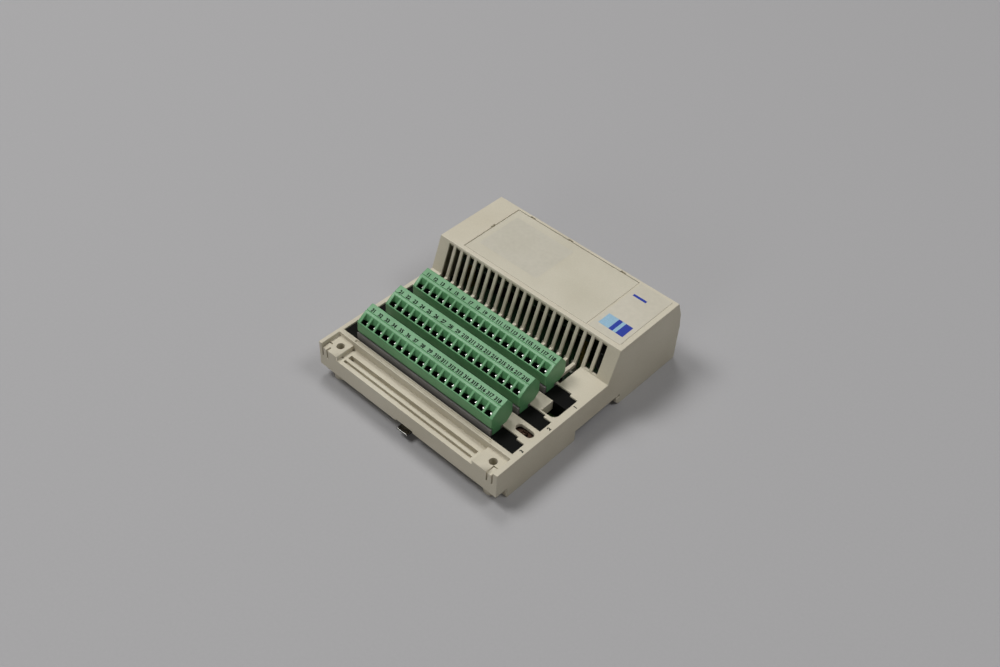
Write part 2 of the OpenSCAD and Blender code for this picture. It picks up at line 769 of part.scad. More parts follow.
// Coil spring that pushes the latch towards the rail, one unbroken tube
module latch_spring() {
    points = [for (k = [0:rings]) each coil_ring(k)];
    skin = [
        for (k = [0:rings - 1], s = [0:side_n - 1], half = [0, 1])
            let (a = k * side_n + s, b = k * side_n + (s + 1) % side_n)
                half == 0 ? [a, b, b + side_n] : [a, b + side_n, a + side_n]
    ];
    caps = [
        for (s = [1:side_n - 2], end = [0, 1])
            end == 0 ? [0, s + 1, s] : [rings * side_n, rings * side_n + s, rings * side_n + s + 1]
    ];
    echo(least_gap_of_the_latch_spring = coil_gap());
    color(steel) place()
        polyhedron(points, concat(skin, caps));
}

// Green plug with a wire opening, a wire hole and a contact chamber for each terminal
module terminal_plug(row) {
    groove = plug_top_front + 2 * top_groove;
    color(green) place() translate([0, row_pin(row), 0]) difference() {
        prism(plug_profile(), [plug_x0, plug_x1]);
        for (i = [0:poles - 1]) {
            incline_prism(cell_profile(), [pole_x(i) - cell_w / 2, pole_x(i) + cell_w / 2]);
            bar([pole_x(i) - contact_w / 2, pole_x(i) + contact_w / 2], [-contact_d / 2, contact_d / 2],
                [tongue_z - cut_over, pin_z + 2 * contact_t]);
        }
        bar([plug_x0 - cut_over, plug_x1 + cut_over], [groove, groove + top_groove],
            [crest[1], deck_z + plug_h + cut_over]);
    }
}

// Steel leaves that hold the wires
module clamp_springs(row) {
    color(steel) place() translate([0, row_pin(row), 0])
        for (i = [0:poles - 1])
            translate([pole_x(i) + cell_w / 2 - guide_t, 0, 0])
                incline_prism(spring_profile(), [-spring_w, 0]);
}

// Black guides that line the wire holes on three sides, open towards the springs
module wire_guides(row) {
    side = cell_w / 2;
    open_at = cell_lip + hole_l - spring_t;
    lining = hole_stretch([cell_lip, open_at], [-guide_drop, -hole_depth]);
    bore = hole_stretch([cell_lip + guide_t, open_at + cut_over], [0, -hole_depth - cut_over]);
    color(black) place() translate([0, row_pin(row), 0])
        for (i = [0:poles - 1])
            translate([pole_x(i), 0, 0]) difference() {
                incline_prism(lining, [-side, side]);
                incline_prism(bore, [guide_t - side, side - guide_t]);
            }
}

// Tinned sleeves that slip over the header pins
module contact_sockets(row) {
    bore_x = contact_w / 2 - contact_t;
    bore_y = contact_d / 2 - contact_t;
    color(tin) place() translate([0, row_pin(row), 0])
        for (i = [0:poles - 1])
            translate([pole_x(i), 0, 0]) difference() {
                bar([-contact_w / 2, contact_w / 2], [-contact_d / 2, contact_d / 2],
                    [tongue_z + fit, pin_z + 2 * contact_t]);
                bar([-bore_x, bore_x], [-bore_y, bore_y], [tongue_z, pin_z + contact_t]);
            }
}

// A square column at each terminal
module pin_columns(z) {
    for (i = [0:poles - 1])
        bar([pole_x(i) - pin_w / 2, pole_x(i) + pin_w / 2], [-pin_w / 2, pin_w / 2], z);
}

// Bars that fill a well over a stretch of its row, narrower at the right end of the well
module well_bars(row, x, z) {
    d = well_d(row) + fit;
    narrow = well_x1 - well_end_l - fit;
    bar(x, [d, d + well_end_w - 2 * fit], z);
    bar([x[0], min(x[1], narrow)], [d, d + well_w - 2 * fit], z);
}

// Black carrier on the board: the floor of the well with a raised block at both ends
module carrier_strip(row) {
    x = [well_x0 + fit, well_x1 - fit];
    z = [board_top, deck_z - block_drop];
    color(black) place() difference() {
        union() {
            well_bars(row, x, [board_top, pit_z]);
            well_bars(row, [x[0], plug_x0 - slide_fit], z);
            well_bars(row, [plug_x1 + slide_fit, x[1]], z);
        }
        translate([0, row_pin(row), 0])
            pin_columns([board_z, pit_z + cut_over]);
    }
}

// Grey channel on the carrier that takes the tongue of the plug, open at both ends
module header_shroud(row) {
    x = [plug_x0, plug_x1];
    y = [-tongue_front - fit, tongue_back + fit];
    low = deck_z + plug_belly - fit;
    high = deck_z + shroud_over;
    color(grey) place() translate([0, row_pin(row), 0]) difference() {
        union() {
            bar(x, [y[0] - shroud_t, y[1] + shroud_back], [pit_z, low]);
            bar(x, [y[0] - shroud_t, y[0]], [pit_z, high]);
        }
        bar([x[0] - cut_over, x[1] + cut_over], y, [pit_z + shroud_floor, high + cut_over]);
        pin_columns([board_z, high]);
    }
}

module header_pins(row) {
    color(tin) place() translate([0, row_pin(row), 0])
        pin_columns([board_top, pin_z]);
}

module main_board() {
    color(board_green) place() difference() {
        bar([-board_x, board_x], board_d, [board_z, board_top]);
        for (spot = screw_spots)
            post(spot[0], spot[1], [board_z - cut_over, board_top + cut_over], screw_dia + 2 * screw_fit);
    }
}

// Slotted screws that hold the main board on its pillars
module board_screws() {
    head_h = 0.7 * screw_dia;
    slot = 0.12 * screw_dia;
    color(steel) place()
        for (spot = screw_spots)
            difference() {
                union() {
                    post(spot[0], spot[1], [lip_z + base_t / 2, board_top + eps], screw_dia);
                    post(spot[0], spot[1], [board_top, board_top + head_h], 2 * screw_dia);
                }
                bar([spot[0] - screw_dia, spot[0] + screw_dia], [spot[1] - slot, spot[1] + slot],
                    [board_top + head_h / 2, board_top + head_h + cut_over]);
            }
}

module bus_board() {
    color(board_green) place()
        bar(bus_x, bus_d, [bus_z, bus_top]);
}

// Hexagonal pillars between the boards
module bus_spacers() {
    color(brass) place()
        for (x = [bus_x[0] + spacer_in, bus_x[1] - spacer_in])
            for (d = [bus_d[0] + spacer_in, bus_d[1] - spacer_in])
                translate([x, d, board_top])
                    cylinder(d = spacer_dia, h = bus_gap, $fn = 6);
}

// Plug that joins the two boards
module board_connector() {
    middle = (bus_x[0] + bus_x[1]) / 2;
    color(black) place()
        bar([middle - link_w / 2, middle + link_w / 2], link_d, [board_top, bus_z]);
}

// Socket for the bus adapter, under the cover panel
module adapter_connector() {
    color(black) place() difference() {
        bar(adapter_x, adapter_d, [bus_top, panel_z - fit]);
        bar([adapter_x[0] + adapter_t, adapter_x[1] - adapter_t],
            [adapter_d[0] + adapter_t, adapter_d[1] - adapter_t], [bus_top + 2 * adapter_t, panel_z]);
    }
}

module bus_chip() {
    x = adapter_x[1] + part_gap;
    d = bus_d[0] + 2 * spacer_in;
    color(black) place()
        bar([x, x + bus_chip_w], [d, d + bus_chip_w], [bus_top, bus_top + bus_chip_h]);
}

// Flat can of the clock crystal with rounded ends
module crystal() {
    x = adapter_x[1] + bus_chip_w + 2 * part_gap + (can_l + can_w) / 2;
    color(tin) place()
        translate([x, adapter_d[0], bus_top])
            linear_extrude(can_h)
                union() {
                    square([can_l, can_w], center = true);
                    for (side = [-1, 1])
                        translate([side * can_l / 2, 0])
                            circle(d = can_w);
                }
}

// A round lamp with a collar, standing on the board
module lamp(x, d) {
    body_h = led_z - board_top - led_dia / 2;
    collar = led_dia / 10;
    translate([x, d, board_top]) rotate_extrude()
        difference() {
            union() {
                square([led_dia / 2, body_h]);
                square([led_dia / 2 + collar, 3 * collar]);
                translate([0, body_h])
                    circle(d = led_dia);
            }
            translate([-led_dia, -led_dia])
                square([led_dia, 3 * led_dia + body_h]);
            translate([0, -led_dia])
                square([led_dia, led_dia]);
        }
}

module input_leds() {
    color("#d8d6cc") place()
        for (i = [0:15])
            lamp(vent_x(i), led_d);
}

module output_leds() {
    color("#d8d6cc") place()
        for (i = [8:15])
            lamp(vent_x(i), led_out);
}

module status_leds() {
    color("#e4e2da") place()
        for (i = [16:18])
            lamp(vent_x(i), led_d);
}

// Sixteen isolators in one line in front of the output lamps
module optocouplers() {
    d = led_out - led_dia - opto_l;
    x0 = opto_edge - board_x;
    step = (2 * (board_x - opto_edge) - opto_w) / 15;
    color(black) place()
        for (i = [0:15])
            bar([x0 + i * step, x0 + i * step + opto_w], [d, d + opto_l], [board_top, board_top + opto_h]);
}

module driver_chips() {
    d = [well_d(2) + well_w + part_gap / 2, well_d(1) - part_gap / 2];
    color(black) place()
        for (i = [-1:1]) {
            x = row_x + driver_pitch * i;
            bar([x - driver_w / 2, x + driver_w / 2], d, [board_top, board_top + driver_h]);
        }
}

module dc_converter() {
    x = bus_x[0] + 2 * spacer_in;
    d = [bus_d[0] + 2 * spacer_in, link_d[0] - part_gap];
    color(black) place()
        bar([x, x + converter_w], d, [board_top, board_top + converter_h]);
}

// Upright capacitors beside the bus board, spaced over its depth
module filter_capacitors() {
    step = (bus_d[1] - bus_d[0]) / 3;
    dia = 0.7 * step;
    color("#2c2f3a") place()
        for (i = [0:2])
            post(bus_x[1] + part_gap + dia / 2, bus_d[0] + (i + 0.5) * step,
                 [board_top, board_top + capacitor_h], dia);
}

// Strap that carries the earth screw under its slot in the deck and stands on the board
module earth_strap() {
    x = [well_x1 - earth_slot_l - strap_side, well_x1 + strap_side];
    d = [earth_d - strap_w / 2, earth_d + strap_w / 2];
    color(bronze) place() difference() {
        union() {
            bar(x, d, [earth_z - strap_t, earth_z]);
            bar([x[0], x[0] + strap_t], d, [board_top, earth_z]);
        }
        post(earth_x, earth_d, [earth_z - 2 * strap_t, deck_z], earth_dia + 2 * screw_fit);
    }
}

// Slotted screw that clamps the earth wire
module earth_screw() {
    slot = 0.12 * earth_dia;
    color(bronze) place() difference() {
        union() {
            post(earth_x, earth_d, [earth_z - earth_l, earth_z + eps], earth_dia);
            post(earth_x, earth_d, [earth_z, earth_z + earth_head], 1.35 * earth_dia);
        }
        bar([earth_x - earth_dia, earth_x + earth_dia], [earth_d - slot, earth_d + slot],
            [earth_z + earth_head / 2, deck_z]);
    }
}

top_cover();
base_plate();
cover_panel();
marking_label();
din_latch();
latch_spring();
terminal_plug(1);  // terminal_plug_1
terminal_plug(2);  // terminal_plug_2
terminal_plug(3);  // terminal_plug_3
clamp_springs(1);  // clamp_springs_1
clamp_springs(2);  // clamp_springs_2
clamp_springs(3);  // clamp_springs_3
wire_guides(1);  // wire_guides_1
wire_guides(2);  // wire_guides_2
wire_guides(3);  // wire_guides_3
contact_sockets(1);  // contact_sockets_1
contact_sockets(2);  // contact_sockets_2
contact_sockets(3);  // contact_sockets_3
carrier_strip(1);  // carrier_strip_1
header_shroud(1);  // header_shroud_1
carrier_strip(2);  // carrier_strip_2
header_shroud(2);  // header_shroud_2
carrier_strip(3);  // carrier_strip_3
header_shroud(3);  // header_shroud_3
header_pins(1);  // header_pins_1
header_pins(2);  // header_pins_2
header_pins(3);  // header_pins_3
main_board();
board_screws();
bus_board();
bus_spacers();
board_connector();
adapter_connector();
bus_chip();
crystal();
input_leds();
output_leds();
status_leds();
optocouplers();
driver_chips();
dc_converter();
filter_capacitors();
earth_strap();
earth_screw();
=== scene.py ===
"""Looks of an input and output base module: a cream housing with three rows of green terminal plugs.

X runs along the terminal rows, Y from the front wall to the raised block, Z up, in metres.
"""
import json
import math

import bmesh
import bpy
import numpy as np
from mathutils import Matrix, Vector


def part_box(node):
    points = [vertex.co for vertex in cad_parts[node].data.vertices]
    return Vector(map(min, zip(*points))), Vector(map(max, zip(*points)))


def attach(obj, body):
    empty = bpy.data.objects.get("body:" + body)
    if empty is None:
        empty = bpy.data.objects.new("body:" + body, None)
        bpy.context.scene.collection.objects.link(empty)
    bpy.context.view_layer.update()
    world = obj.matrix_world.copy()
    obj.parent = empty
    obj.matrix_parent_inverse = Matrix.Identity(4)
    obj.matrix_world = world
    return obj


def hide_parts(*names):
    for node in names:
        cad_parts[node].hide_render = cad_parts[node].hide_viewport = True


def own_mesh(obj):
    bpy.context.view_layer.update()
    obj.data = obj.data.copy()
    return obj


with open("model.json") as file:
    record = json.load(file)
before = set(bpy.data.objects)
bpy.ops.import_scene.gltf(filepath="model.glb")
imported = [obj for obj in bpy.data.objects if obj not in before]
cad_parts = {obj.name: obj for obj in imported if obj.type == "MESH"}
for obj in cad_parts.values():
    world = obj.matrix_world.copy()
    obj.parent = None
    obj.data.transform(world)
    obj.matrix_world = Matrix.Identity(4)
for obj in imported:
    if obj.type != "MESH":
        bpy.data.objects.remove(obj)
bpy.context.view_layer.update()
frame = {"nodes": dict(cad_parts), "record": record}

MM = 0.001
ROWS = "123"
scene = bpy.context.scene
scene.view_settings.view_transform = "Standard"

record = frame["record"]
slot_of = {part["node"]: part["material_slot"] for part in record["subparts"]}
body_of = {}
for body, members in record["behaviour"]["bodies"].items():
    body_of.update(dict.fromkeys(members, body))


def linear(code):
    """sRGB hex to linear colour: each channel is undone with the standard sRGB curve."""
    channels = np.array([int(code[i:i + 2], 16) for i in (1, 3, 5)]) / 255
    low = channels / 12.92
    high = ((channels + 0.055) / 1.055) ** 2.4
    return (*np.where(channels < 0.04045, low, high), 1.0)


def add(tree, kind, inputs, **settings):
    """Adds one shader node; an input is given a number, a colour, or another node's output."""
    made = tree.nodes.new("ShaderNode" + kind)
    for key, value in settings.items():
        setattr(made, key, value)
    for key, value in inputs.items():
        if isinstance(value, bpy.types.NodeSocket):
            tree.links.new(value, made.inputs[key])
        else:
            made.inputs[key].default_value = value
    return made


def finish_of(name, **sockets):
    """A material with its shader, its object coordinates in metres and nothing else yet."""
    made = bpy.data.materials.new(name)
    made.use_nodes = True
    tree = made.node_tree
    tree.nodes.clear()
    shader = add(tree, "BsdfPrincipled", sockets)
    add(tree, "OutputMaterial", {"Surface": shader.outputs["BSDF"]})
    place = add(tree, "TexCoord", {}).outputs["Object"]
    return made, tree, shader, place


def per_size(size_mm):
    """Pattern scale, in repeats a metre, for features that are this many millimetres wide."""
    return 1 / (size_mm * MM)


def moulded_plastic(name, code, tint_code, tint_mm, grain_mm, grain_depth_mm, roughness, spread, **sockets):
    """Moulded plastic: a base colour that drifts towards a tint, fine grain as bump, patchy gloss."""
    made, tree, shader, place = finish_of(name, **sockets)
    drift = add(tree, "TexNoise", {"Vector": place, "Scale": per_size(tint_mm), "Detail": 3.0})
    share = add(tree, "MapRange", {"Value": drift.outputs["Fac"], "From Min": 0.35, "From Max": 0.75})
    colour = add(tree, "Mix", {"Factor": share.outputs["Result"], "A": linear(code), "B": linear(tint_code)},
                 data_type="RGBA")
    grain = add(tree, "TexNoise", {"Vector": place, "Scale": per_size(grain_mm), "Detail": 2.0})
    speck = add(tree, "MapRange", {"Value": grain.outputs["Fac"], "From Min": 0.3, "From Max": 0.7,
                                   "To Min": 0.97, "To Max": 1.03})
    tone = add(tree, "HueSaturation", {"Value": speck.outputs["Result"], "Color": colour.outputs["Result"]})
    gloss = add(tree, "MapRange", {"Value": drift.outputs["Fac"], "From Min": 0.3, "From Max": 0.7,
                                   "To Min": roughness - spread, "To Max": roughness + spread})
    bump = add(tree, "Bump", {"Height": grain.outputs["Fac"], "Strength": 0.5,
                              "Distance": grain_depth_mm * MM})
    tree.links.new(tone.outputs["Color"], shader.inputs["Base Color"])
    tree.links.new(gloss.outputs["Result"], shader.inputs["Roughness"])
    tree.links.new(bump.outputs["Normal"], shader.inputs["Normal"])
    return made


def plated_metal(name, code, dull_code, streak_mm, roughness, spread):
    """Plated sheet or wire: metal whose colour and gloss drift in fine streaks along Y."""
    made, tree, shader, place = finish_of(name, Metallic=1.0)
    drawn = add(tree, "Mapping", {"Vector": place, "Scale": (1.0, 0.08, 1.0)}).outputs["Vector"]
    noise = add(tree, "TexNoise", {"Vector": drawn, "Scale": per_size(streak_mm), "Detail": 4.0})
    streak = noise.outputs["Fac"]
    colour = add(tree, "Mix", {"Factor": streak, "A": linear(code), "B": linear(dull_code)},
                 data_type="RGBA")
    gloss = add(tree, "MapRange", {"Value": streak, "From Min": 0.3, "From Max": 0.7,
                                   "To Min": roughness - spread, "To Max": roughness + spread})
    bump = add(tree, "Bump", {"Height": streak, "Strength": 0.25, "Distance": 0.02 * MM})
    tree.links.new(colour.outputs["Result"], shader.inputs["Base Color"])
    tree.links.new(gloss.outputs["Result"], shader.inputs["Roughness"])
    tree.links.new(bump.outputs["Normal"], shader.inputs["Normal"])
    return made


def solder_resist(name, code, copper_code):
    """Glass fibre board under green resist: paler tracks 1.27 mm apart, crossed every 14 mm."""
    made, tree, shader, place = finish_of(name, Roughness=0.3)
    tracks = add(tree, "TexBrick", {"Vector": place, "Scale": per_size(1.0), "Mortar Size": 0.14,
                                    "Brick Width": 14.0, "Row Height": 1.27, "Mortar Smooth": 0.2})
    track = tracks.outputs["Fac"]
    weave = add(tree, "TexNoise", {"Vector": place, "Scale": per_size(0.8), "Detail": 2.0})
    colour = add(tree, "Mix", {"Factor": track, "A": linear(code), "B": linear(copper_code)},
                 data_type="RGBA")
    shade = add(tree, "MapRange", {"Value": weave.outputs["Fac"], "To Min": 0.85, "To Max": 1.15})
    tone = add(tree, "HueSaturation", {"Value": shade.outputs["Result"], "Color": colour.outputs["Result"]})
    bump = add(tree, "Bump", {"Height": track, "Strength": 0.4, "Distance": 0.05 * MM})
    tree.links.new(tone.outputs["Color"], shader.inputs["Base Color"])
    tree.links.new(bump.outputs["Normal"], shader.inputs["Normal"])
    return made


def printed_ink(name, code, roughness):
    """Pad printed ink: one colour that thins a little in patches half a millimetre wide."""
    made, tree, shader, place = finish_of(name, Roughness=roughness, **{"Specular IOR Level": 0.05})
    patch = add(tree, "TexNoise", {"Vector": place, "Scale": per_size(0.5), "Detail": 3.0})
    shade = add(tree, "MapRange", {"Value": patch.outputs["Fac"], "To Min": 0.8, "To Max": 1.2})
    tone = add(tree, "HueSaturation", {"Value": shade.outputs["Result"], "Color": linear(code)})
    tree.links.new(tone.outputs["Color"], shader.inputs["Base Color"])
    return made


# Light grey-cream ABS, spark-eroded mould: matte, its sandy grain drawn 0.7 mm wide so that it shows
abs_housing = moulded_plastic("cream_abs_sparked", "#c5beab", "#bbb39f", tint_mm=38, grain_mm=0.7,
                              grain_depth_mm=0.05, roughness=0.55, spread=0.06)
# The same ABS in the lower moulding, smoother and a little darker
abs_base = moulded_plastic("cream_abs_smooth", "#b3ab98", "#a79f8b", tint_mm=30, grain_mm=1.2,
                           grain_depth_mm=0.03, roughness=0.5, spread=0.05)
# ABS of the snap-in panel: a touch greyer and smoother than the housing
abs_panel = moulded_plastic("cream_abs_panel", "#c1bba9", "#b8b29f", tint_mm=30, grain_mm=0.7,
                            grain_depth_mm=0.04, roughness=0.5, spread=0.06)
# Polyester label film: smoother and a little glossier than the housing
film_label = moulded_plastic("polyester_label_film", "#c2bcac", "#bbb5a4", tint_mm=25, grain_mm=2.5,
                             grain_depth_mm=0.01, roughness=0.4, spread=0.05)
# Clear polyester film on the panel: greyer and glossier than the plastic under it
film_bare = moulded_plastic("clear_polyester_film", "#bdb8a9", "#b6b1a1", tint_mm=20, grain_mm=2.0,
                            grain_depth_mm=0.01, roughness=0.32, spread=0.05)
# Polyamide of the plugs: satin green, faint flow marks
polyamide_plug = moulded_plastic("green_polyamide_satin", "#5f9767", "#548a5b", tint_mm=14, grain_mm=0.9,
                                 grain_depth_mm=0.03, roughness=0.4, spread=0.06)
# Glass-filled PBT of the carriers, linings, connectors and chips: black, dull
pbt_black = moulded_plastic("black_pbt", "#090908", "#0e0e0c", tint_mm=8, grain_mm=0.6,
                            grain_depth_mm=0.04, roughness=0.5, spread=0.08,
                            **{"Specular IOR Level": 0.05})
# PBT of the shrouds: dark grey
pbt_grey = moulded_plastic("grey_pbt", "#6c6966", "#605d5a", tint_mm=12, grain_mm=0.8,
                           grain_depth_mm=0.03, roughness=0.5, spread=0.06)
# Shrunk PVC sleeve of the capacitors: dark, glossy
pvc_sleeve = moulded_plastic("pvc_sleeve", "#1c1b1a", "#262422", tint_mm=10, grain_mm=1.5,
                             grain_depth_mm=0.02, roughness=0.3, spread=0.05)
# Epoxy lens of the signal lamps: milky, very glossy
epoxy_lens = moulded_plastic("epoxy_lens", "#d8d6cc", "#c9c6b8", tint_mm=2, grain_mm=0.8,
                             grain_depth_mm=0.01, roughness=0.15, spread=0.04)
# Zinc plated steel sheet and wire: mid grey and glossy, with fine drawn streaks
zinc_steel = plated_metal("zinc_plated_steel", "#9a9a97", "#74736e",
                          streak_mm=0.5, roughness=0.17, spread=0.05)
# Spring steel of the clamps: bright satin, so that its rounded edges glint
spring_steel = plated_metal("spring_steel", "#e8e8e4", "#cfcfca",
                            streak_mm=0.4, roughness=0.42, spread=0.06)
# Tin plated contacts and pins: paler than zinc, with a softer shine
tin_plate = plated_metal("tin_plate", "#bdbfbb", "#9c9d98",
                         streak_mm=0.4, roughness=0.32, spread=0.08)
# Turned brass of the spacers: yellow with a soft shine
turned_brass = plated_metal("turned_brass", "#b89b4c", "#93783a",
                            streak_mm=0.4, roughness=0.3, spread=0.08)
# Tarnished bronze of the earth strap and its screw: dark brown with a dull shine
dark_bronze = plated_metal("tarnished_bronze", "#3a2b23", "#231a15",
                           streak_mm=0.4, roughness=0.33, spread=0.1)
# Glass fibre board with green solder resist: dark, partly its own colour and partly painted shade inside the
# housing; glossy, tracks faintly paler
board_resist_painted_shade = solder_resist("green_solder_resist", "#16281b", "#33502f")
# The same resist painted brighter, as painted light where the board shows in the window, with fainter lines
painted_light_resist = solder_resist("green_resist_over_copper", "#6f9a55", "#83ad68")
# Pad printing inks: a dull black, and two blues with a slight shine
ink_dark = printed_ink("dark_ink", "#0c100d", roughness=0.7)
ink_blue = printed_ink("blue_ink", "#34439a", roughness=0.4)
ink_pale = printed_ink("pale_blue_ink", "#93b4c8", roughness=0.4)

finishes = {
    "cream": abs_housing, "cream_shade": abs_base, "cream_panel": abs_panel, "label": film_label,
    "green": polyamide_plug, "black": pbt_black, "grey": pbt_grey, "sleeve": pvc_sleeve, "led": epoxy_lens,
    "steel": zinc_steel, "tin": tin_plate, "brass": turned_brass, "bronze": dark_bronze,
    "board": board_resist_painted_shade,
}
finish_by_node = {name: finishes[slot] for name, slot in slot_of.items()}
for row in ROWS:
    finish_by_node["clamp_springs_" + row] = spring_steel

# Corners of the CAD triangles that lie closer than this are one corner
MERGE_DISTANCE = 0.001 * MM
# Faces that turn by less than FLAT make one plane, and edges that turn by more than SHARP are rounded
FLAT = math.radians(0.5)
SHARP = math.radians(30)
# How often the triangles of the flat faces are evened out
EVEN_PASSES = 4
# The most that the rounding of an edge takes of a narrow face beside it
FACE_SHARE = 0.4


def flat_regions(shape):
    """For each face, the corners of its flat region: the coplanar faces that meet at their edges."""
    home = {}
    for first in shape.faces:
        if first in home:
            continue
        region, waiting = set(), [first]
        home[first] = region
        while waiting:
            face = waiting.pop()
            region.update(corner.co.copy().freeze() for corner in face.verts)
            for other in (other for edge in face.edges for other in edge.link_faces):
                if other not in home and face.normal.angle(other.normal, math.pi) < FLAT:
                    home[other] = region
                    waiting.append(other)
    return home


def edge_room(edge, home, radius):
    """The radius, or a share of the narrower flat region beside the edge, measured across it."""
    along = (edge.verts[1].co - edge.verts[0].co).normalized()
    for face in edge.link_faces:
        across = face.normal.cross(along)
        width = max(abs((corner - edge.verts[0].co).dot(across)) for corner in home[face])
        radius = min(radius, FACE_SHARE * width)
    return radius


def within(place, box):
    """Whether a place lies between the low and the high corner of a box; without a box, no place does."""
    return box is not None and all(low < v < high for low, v, high in zip(box[0], place, box[1]))


def merged_shape(name):
    """The triangles of a CAD node as one shape: doubles merged, faces shaded smooth."""
    shape = bmesh.new()
    shape.from_mesh(frame["nodes"][name].data)
    bmesh.ops.remove_doubles(shape, verts=shape.verts, dist=MERGE_DISTANCE)
    for face in shape.faces:
        face.smooth = True
    return shape


def stand_in(name, shape, ending):
    """The piece that takes a CAD node's place, made from a shape, with the node's finish, slot and body."""
    mesh = bpy.data.meshes.new(name + ending)
    shape.to_mesh(mesh)
    shape.free()
    mesh.materials.append(finish_by_node[name])
    piece = bpy.data.objects.new(name + ending, mesh)
    scene.collection.objects.link(piece)
    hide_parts(name)
    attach(piece, body_of[name])
    return piece


def rounded_copy(name, radius, kept_sharp):
    """Copy of a CAD node: doubles merged, flat triangles evened out, sharp edges rounded by a Bevel.

    Edges whose middle lies in the kept_sharp box, inside the housing, stay as they are.
    """
    shape = merged_shape(name)
    for _ in range(EVEN_PASSES):
        level = [edge for edge in shape.edges if edge.calc_face_angle(math.pi) < FLAT]
        bmesh.ops.beautify_fill(shape, faces=shape.faces, edges=level, method="ANGLE")
    home = flat_regions(shape)
    weight = shape.edges.layers.float.new("bevel_weight_edge")
    for edge in shape.edges:
        if edge.calc_face_angle(0) > SHARP:
            inside = within((edge.verts[0].co + edge.verts[1].co) / 2, kept_sharp)
            edge.smooth = not inside
            edge[weight] = 0 if inside else edge_room(edge, home, radius) / radius
    piece = stand_in(name, shape, "_rounded")
    bevel = piece.modifiers.new("rounding", "BEVEL")
    bevel.limit_method = "WEIGHT"
    bevel.width = radius
    bevel.segments = 2
    bevel.use_clamp_overlap = False
    bevel.loop_slide = False
    bevel.harden_normals = True
    shading = piece.modifiers.new("level_faces", "WEIGHTED_NORMAL")
    shading.weight = 100
    shading.keep_sharp = True


# Radius of the rounded edges of each node, in mm
rounding = {
    "top_cover": 0.3, "base_plate": 0.15, "cover_panel": 0.3, "marking_label": 0.12, "din_latch": 0.2,
    "main_board": 0.1, "board_screws": 0.15, "bus_board": 0.1, "board_connector": 0.2,
    "adapter_connector": 0.2, "bus_chip": 0.2, "crystal": 0.3, "optocouplers": 0.2, "driver_chips": 0.2,
    "dc_converter": 0.5, "filter_capacitors": 0.6, "earth_strap": 0.15, "earth_screw": 0.15,
}
for row in ROWS:
    rounding["terminal_plug_" + row] = 0.25
    rounding["clamp_springs_" + row] = 0.3
    rounding["carrier_strip_" + row] = 0.25
    rounding["header_shroud_" + row] = 0.2

# Edges that show only inside the housing stay sharp: those of the cover around the base and under the
# deck, and those of the base above its foot. The slack takes in the edges that lie right on a limit
DECK_UNDERSIDE = 21 * MM
WALL_GAP = 0.2 * MM
FOOT_HEIGHT = 7 * MM
SLACK = 0.1 * MM
MARGIN = 1 * MM
around = Vector((MARGIN, MARGIN, MARGIN))
beside = WALL_GAP + SLACK
low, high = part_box("base_plate")
inner_edges = {
    "top_cover": (low - around, Vector((high.x + beside, high.y + beside, DECK_UNDERSIDE + SLACK))),
    "base_plate": (low + Vector((-MARGIN, -MARGIN, FOOT_HEIGHT - SLACK)), high + around),
}
for name, cad in frame["nodes"].items():
    if name in rounding:
        rounded_copy(name, rounding[name] * MM, inner_edges.get(name))
    elif name != "latch_spring":
        cad.data.materials.clear()
        cad.data.materials.append(finish_by_node[name])

# The coil stands against the base plate in front, with the latch behind it; its copy keeps the length it has
# in the CAD
low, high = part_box("latch_spring")
coil = stand_in("latch_spring", merged_shape("latch_spring"), "_coil")
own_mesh(coil)

# How far printing and film stand off the surface that carries them
INK_LIFT = 0.03 * MM
# The digits' distance from each other, in digit heights, and what makes their strokes bolder
DIGIT_STEP = 0.62
DIGIT_BOLDNESS = 0.045
NUMBER_HEIGHT = 2.2 * MM


def sheet_of(name, corners, faces, finish, body):
    """One flat piece from an array of corners and a list of faces."""
    mesh = bpy.data.meshes.new(name)
    mesh.from_pydata(corners.tolist(), [], faces)
    mesh.materials.append(finish)
    piece = bpy.data.objects.new(name, mesh)
    scene.collection.objects.link(piece)
    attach(piece, body)


def digit_shapes():
    """Outlines of the ten digits, one unit high, centred across and up, as corners and faces."""
    shapes = {}
    for digit in "0123456789":
        curve = bpy.data.curves.new("digit", "FONT")
        curve.body = digit
        curve.resolution_u = 3
        curve.offset = DIGIT_BOLDNESS
        holder = bpy.data.objects.new("digit", curve)
        scene.collection.objects.link(holder)
        drawn = holder.evaluated_get(bpy.context.evaluated_depsgraph_get())
        mesh = bpy.data.meshes.new_from_object(drawn)
        corners = np.array([corner.co[:2] for corner in mesh.vertices])
        low, high = corners.min(0), corners.max(0)
        shapes[digit] = ((corners - (low + high) / 2) / (high[1] - low[1]),
                         [list(face.vertices) for face in mesh.polygons])
        bpy.data.objects.remove(holder)
        bpy.data.curves.remove(curve)
        bpy.data.meshes.remove(mesh)
    return shapes


digits = digit_shapes()


def numbers(name, labels, starts, along, up, body):
    """Plain numbers, each centred on its start: digits side by side along one direction and up another."""
    along, up = np.array(along, float), np.array(up, float)
    lift = INK_LIFT * np.cross(along, up)
    corners, faces, count = [], [], 0
    for text, start in zip(labels, starts):
        for k, digit in enumerate(text):
            flat, loops = digits[digit]
            shift = (k - (len(text) - 1) / 2) * DIGIT_STEP
            spread = (flat[:, :1] + shift) * along + flat[:, 1:] * up
            corners.append(np.array(start) + lift + NUMBER_HEIGHT * spread)
            faces += [[count + v for v in loop] for loop in loops]
            count += len(flat)
    sheet_of(name, np.concatenate(corners), faces, ink_dark, body)


